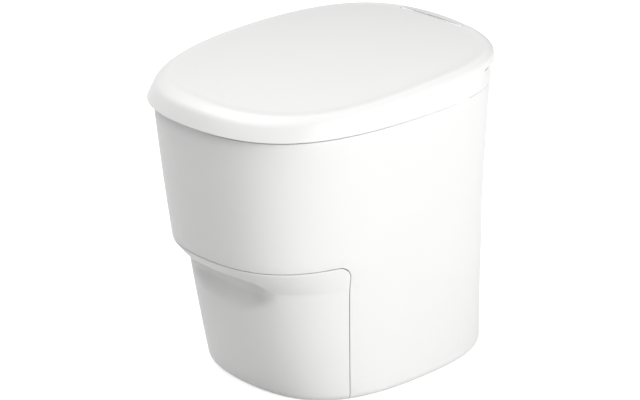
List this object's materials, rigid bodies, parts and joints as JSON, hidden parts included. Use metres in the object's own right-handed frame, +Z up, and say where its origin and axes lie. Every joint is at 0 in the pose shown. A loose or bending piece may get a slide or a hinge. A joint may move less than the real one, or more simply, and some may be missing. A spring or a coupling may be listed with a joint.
{
  "type": "waterless toilet",
  "caption": "Free-standing waterless toilet with a domed lid, hinged seat, film-lined bowl, sealing jaws and a pull-out bin behind its lower front.",
  "frame": {"origin": "centre of the footprint box, on the floor", "axes": "+Z up, the front with the pull-out bin faces -Y, +X to the right seen from the front"},
  "size_m": [0.382, 0.5, 0.4793],
  "materials": {
    "white_plastic": "white satin-gloss moulding",
    "seat_plastic": "white smooth moulding",
    "grey_plastic": "mid-grey moulding",
    "dark_plastic": "dark grey moulding",
    "steel": "brushed steel",
    "rubber": "black rubber",
    "silicone": "red-brown silicone",
    "film": "pale thin film",
    "board": "green circuit board"
  },
  "bodies": {
    "housing": {"body_shell": "white_plastic", "top_frame": "white_plastic", "rear_console": "white_plastic", "cassette_body": "seat_plastic", "bowl_funnel": "seat_plastic", "base_plate": "grey_plastic", "cassette_cover": "grey_plastic", "fixed_jaw": "grey_plastic", "rear_beam": "grey_plastic", "power_inlet": "dark_plastic", "button_switch": "dark_plastic", "hinge_pin": "steel", "side_plate_left": "steel", "side_plate_right": "steel", "guide_rod_left": "steel", "guide_rod_right": "steel", "jaw_motor": "steel", "feed_motor": "steel", "board_bracket": "steel", "drawer_runner_left": "steel", "drawer_runner_right": "steel", "foot_front_left": "rubber", "foot_front_right": "rubber", "foot_rear_left": "rubber", "foot_rear_right": "rubber", "sealing_pad": "silicone", "film_pack": "film", "film_liner": "film", "control_board": "board"},
    "seat": {"seat_ring": "seat_plastic", "seat_buffer_front_left": "rubber", "seat_buffer_front_right": "rubber", "seat_buffer_rear_left": "rubber", "seat_buffer_rear_right": "rubber"},
    "lid": {"lid_shell": "white_plastic", "lid_liner": "white_plastic", "lid_buffer_left": "rubber", "lid_buffer_right": "rubber"},
    "button": {"start_button": "grey_plastic"},
    "drawer": {"drawer_front": "white_plastic", "drawer_tray": "grey_plastic", "drawer_rail_left": "steel", "drawer_rail_right": "steel", "waste_bin": "grey_plastic"},
    "jaw_carriage": {"moving_jaw": "grey_plastic", "heater_strip": "steel", "jaw_rack_left": "steel", "jaw_rack_right": "steel", "rod_bush_left": "silicone", "rod_bush_right": "silicone"},
    "jaw_shaft_body": {"jaw_shaft": "steel", "shaft_gear": "dark_plastic"},
    "motor_pinion_body": {"motor_pinion": "steel"},
    "drive_roller_body": {"drive_roller": "rubber", "drive_gear": "dark_plastic"},
    "pinch_roller_body": {"pinch_roller": "rubber"},
    "feed_pinion_body": {"feed_pinion": "steel"}
  },
  "joints": [
    {"name": "seat_hinge", "type": "hinge", "parent": "housing", "child": "seat", "pos_m": [0, 0.2235, 0.46312], "axis": [-1, 0, 0], "range_deg": [0, 98]},
    {"name": "lid_hinge", "type": "hinge", "parent": "seat", "child": "lid", "pos_m": [0, 0.2235, 0.46312], "axis": [-1, 0, 0], "range_deg": [0, 95]},
    {"name": "button_press", "type": "slide", "parent": "housing", "child": "button", "axis": [0, 0, -1], "range_m": [0, 0.0025], "stiffness_N_per_m": 300, "springref_m": -0.001},
    {"name": "drawer_slide", "type": "slide", "parent": "housing", "child": "drawer", "axis": [0, -1, 0], "range_m": [0, 0.24]},
    {"name": "jaw_slide", "type": "slide", "parent": "housing", "child": "jaw_carriage", "axis": [0, -1, 0], "range_m": [0, 0.086]},
    {"name": "jaw_shaft_turn", "type": "hinge", "parent": "housing", "child": "jaw_shaft_body", "pos_m": [0, 0.072, 0.1941], "axis": [1, 0, 0], "range_deg": [0, 560]},
    {"name": "motor_turn", "type": "hinge", "parent": "housing", "child": "motor_pinion_body", "pos_m": [0, 0.0931, 0.1941], "axis": [1, 0, 0], "range_deg": [-1400, 0]},
    {"name": "drive_spin", "type": "hinge", "parent": "housing", "child": "drive_roller_body", "pos_m": [0, -0.0524, 0.196], "axis": [1, 0, 0], "continuous": true},
    {"name": "pinch_spin", "type": "hinge", "parent": "jaw_carriage", "child": "pinch_roller_body", "pos_m": [0, 0.0528, 0.196], "axis": [1, 0, 0], "continuous": true},
    {"name": "feed_spin", "type": "hinge", "parent": "housing", "child": "feed_pinion_body", "pos_m": [0, -0.0524, 0.1779], "axis": [1, 0, 0], "continuous": true}
  ],
  "couplings": [
    {"joint": "jaw_shaft_turn", "follows": "jaw_slide", "rad_per_m": 111.11},
    {"joint": "motor_turn", "follows": "jaw_slide", "rad_per_m": -277.78},
    {"joint": "pinch_spin", "follows": "drive_spin", "ratio": -1},
    {"joint": "feed_spin", "follows": "drive_spin", "ratio": -2}
  ]
}
